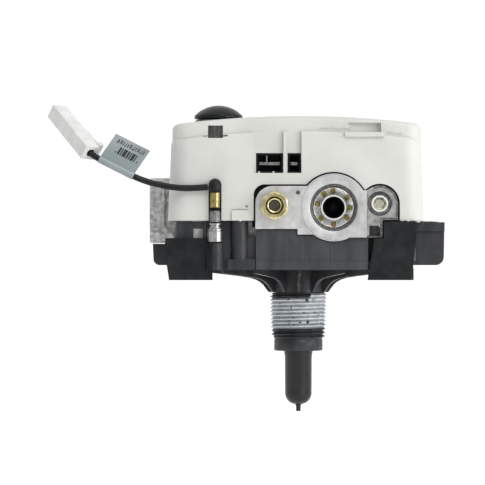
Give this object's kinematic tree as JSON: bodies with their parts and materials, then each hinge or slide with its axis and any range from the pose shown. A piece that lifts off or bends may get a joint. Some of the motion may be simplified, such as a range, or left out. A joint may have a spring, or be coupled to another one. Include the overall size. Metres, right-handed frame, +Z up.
{
  "type": "water heater gas control valve",
  "caption": "Gas control valve and thermostat for a storage water heater: die-cast valve body, moulded base with threaded shank and sensor well, domed knob under a crowned cover, short sensing lead.",
  "frame": {"origin": "on the axis of the tank shank, in the plane of the undersides of the base's feet", "axes": "+X to the right when looking at the gas outlet, +Y away from the outlet face towards the back, +Z up, away from the tank; the shank points down -Z"},
  "size_m": [0.1885, 0.1014, 0.1457],
  "materials": {
    "cover_plastic": "fine moulded texture, warm white",
    "base_plastic": "glass-filled black moulding",
    "knob_plastic": "glossy black dome with a knurled skirt",
    "die_cast": "raw die casting",
    "brass": "machined",
    "steel": "zinc plated",
    "rubber": "matte",
    "nylon": "natural nylon",
    "board_laminate": "solder mask",
    "copper": "enamelled winding",
    "label_film": "printed film",
    "lens": "translucent"
  },
  "bodies": {
    "valve": {"cover": "cover_plastic", "spindle_spring": "steel", "spindle_seal": "rubber", "potentiometer_body": "base_plastic", "valve_body": "die_cast", "bonnet": "die_cast", "diaphragm": "rubber", "main_valve_spring": "steel", "regulator_spring": "steel", "regulator_cap": "base_plastic", "servo_yoke": "steel", "servo_winding": "copper", "servo_core_spring": "steel", "safety_magnet": "steel", "safety_valve_spring": "steel", "outlet_ring": "die_cast", "outlet_brass_ring": "brass", "pilot_fitting": "brass", "pressure_tap_plug": "steel", "inlet_strainer": "brass", "circuit_board": "board_laminate", "harness_header_wide": "base_plastic", "harness_header_narrow": "base_plastic", "microcontroller": "base_plastic", "capacitor": "steel", "status_led": "lens", "status_lens": "lens", "mounting_base": "base_plastic", "threaded_shank": "base_plastic", "sensor_well": "base_plastic", "temperature_sensor": "steel", "sensor_leads": "rubber", "lead_nut": "steel", "lead_sleeve": "steel", "lead_seal": "rubber", "lead_terminal": "brass", "lead_boot": "rubber", "sensing_lead": "rubber", "lead_label": "label_film", "connector_housing": "nylon", "connector_terminal_1": "brass", "connector_terminal_2": "brass", "cover_screw_1": "steel", "cover_screw_2": "steel", "cover_screw_3": "steel", "cover_screw_4": "steel", "bonnet_screw_1": "steel", "bonnet_screw_2": "steel", "bonnet_screw_3": "steel", "bonnet_screw_4": "steel", "base_screw_1": "steel", "base_screw_2": "steel"},
    "spindle": {"push_spindle": "steel"},
    "knob": {"control_knob": "knob_plastic"},
    "rotor": {"potentiometer_rotor": "nylon"},
    "safety": {"safety_valve": "steel"},
    "main": {"main_valve_disc": "steel"},
    "core": {"servo_core": "steel"},
    "adjuster": {"regulator_adjuster": "brass"}
  },
  "joints": [
    {"name": "knob_push", "type": "slide", "parent": "valve", "child": "spindle", "axis": [0, 0, -1], "range_m": [0, 0.003], "stiffness_N_per_m": 600, "springref_m": -0.004, "deforming": ["spindle_spring"]},
    {"name": "knob_turn", "type": "hinge", "parent": "spindle", "child": "knob", "pos_m": [-0.0381, -0.03, 0.07], "axis": [0, 0, -1], "range_deg": [-90, 180]},
    {"name": "rotor_turn", "type": "hinge", "parent": "valve", "child": "rotor", "pos_m": [-0.0381, -0.03, 0.057], "axis": [0, 0, -1], "range_deg": [-90, 180]},
    {"name": "safety_valve_push", "type": "slide", "parent": "valve", "child": "safety", "axis": [0, 0, -1], "range_m": [0, 0.003], "deforming": ["safety_valve_spring"]},
    {"name": "main_valve_lift", "type": "slide", "parent": "valve", "child": "main", "axis": [0, 0, 1], "range_m": [0, 0.002], "stiffness_N_per_m": 300, "springref_m": -0.002, "deforming": ["main_valve_spring", "diaphragm"]},
    {"name": "servo_core_lift", "type": "slide", "parent": "valve", "child": "core", "axis": [0, 0, 1], "range_m": [0, 0.0015], "stiffness_N_per_m": 200, "springref_m": -0.001, "deforming": ["servo_core_spring"]},
    {"name": "regulator_turn", "type": "hinge", "parent": "valve", "child": "adjuster", "pos_m": [0.027, 0.025, 0.054], "axis": [0, 0, 1], "continuous": true}
  ],
  "couplings": [
    {"joint": "rotor_turn", "follows": "knob_turn", "ratio": 1},
    {"joint": "safety_valve_push", "follows": "knob_push", "ratio": 1}
  ]
}
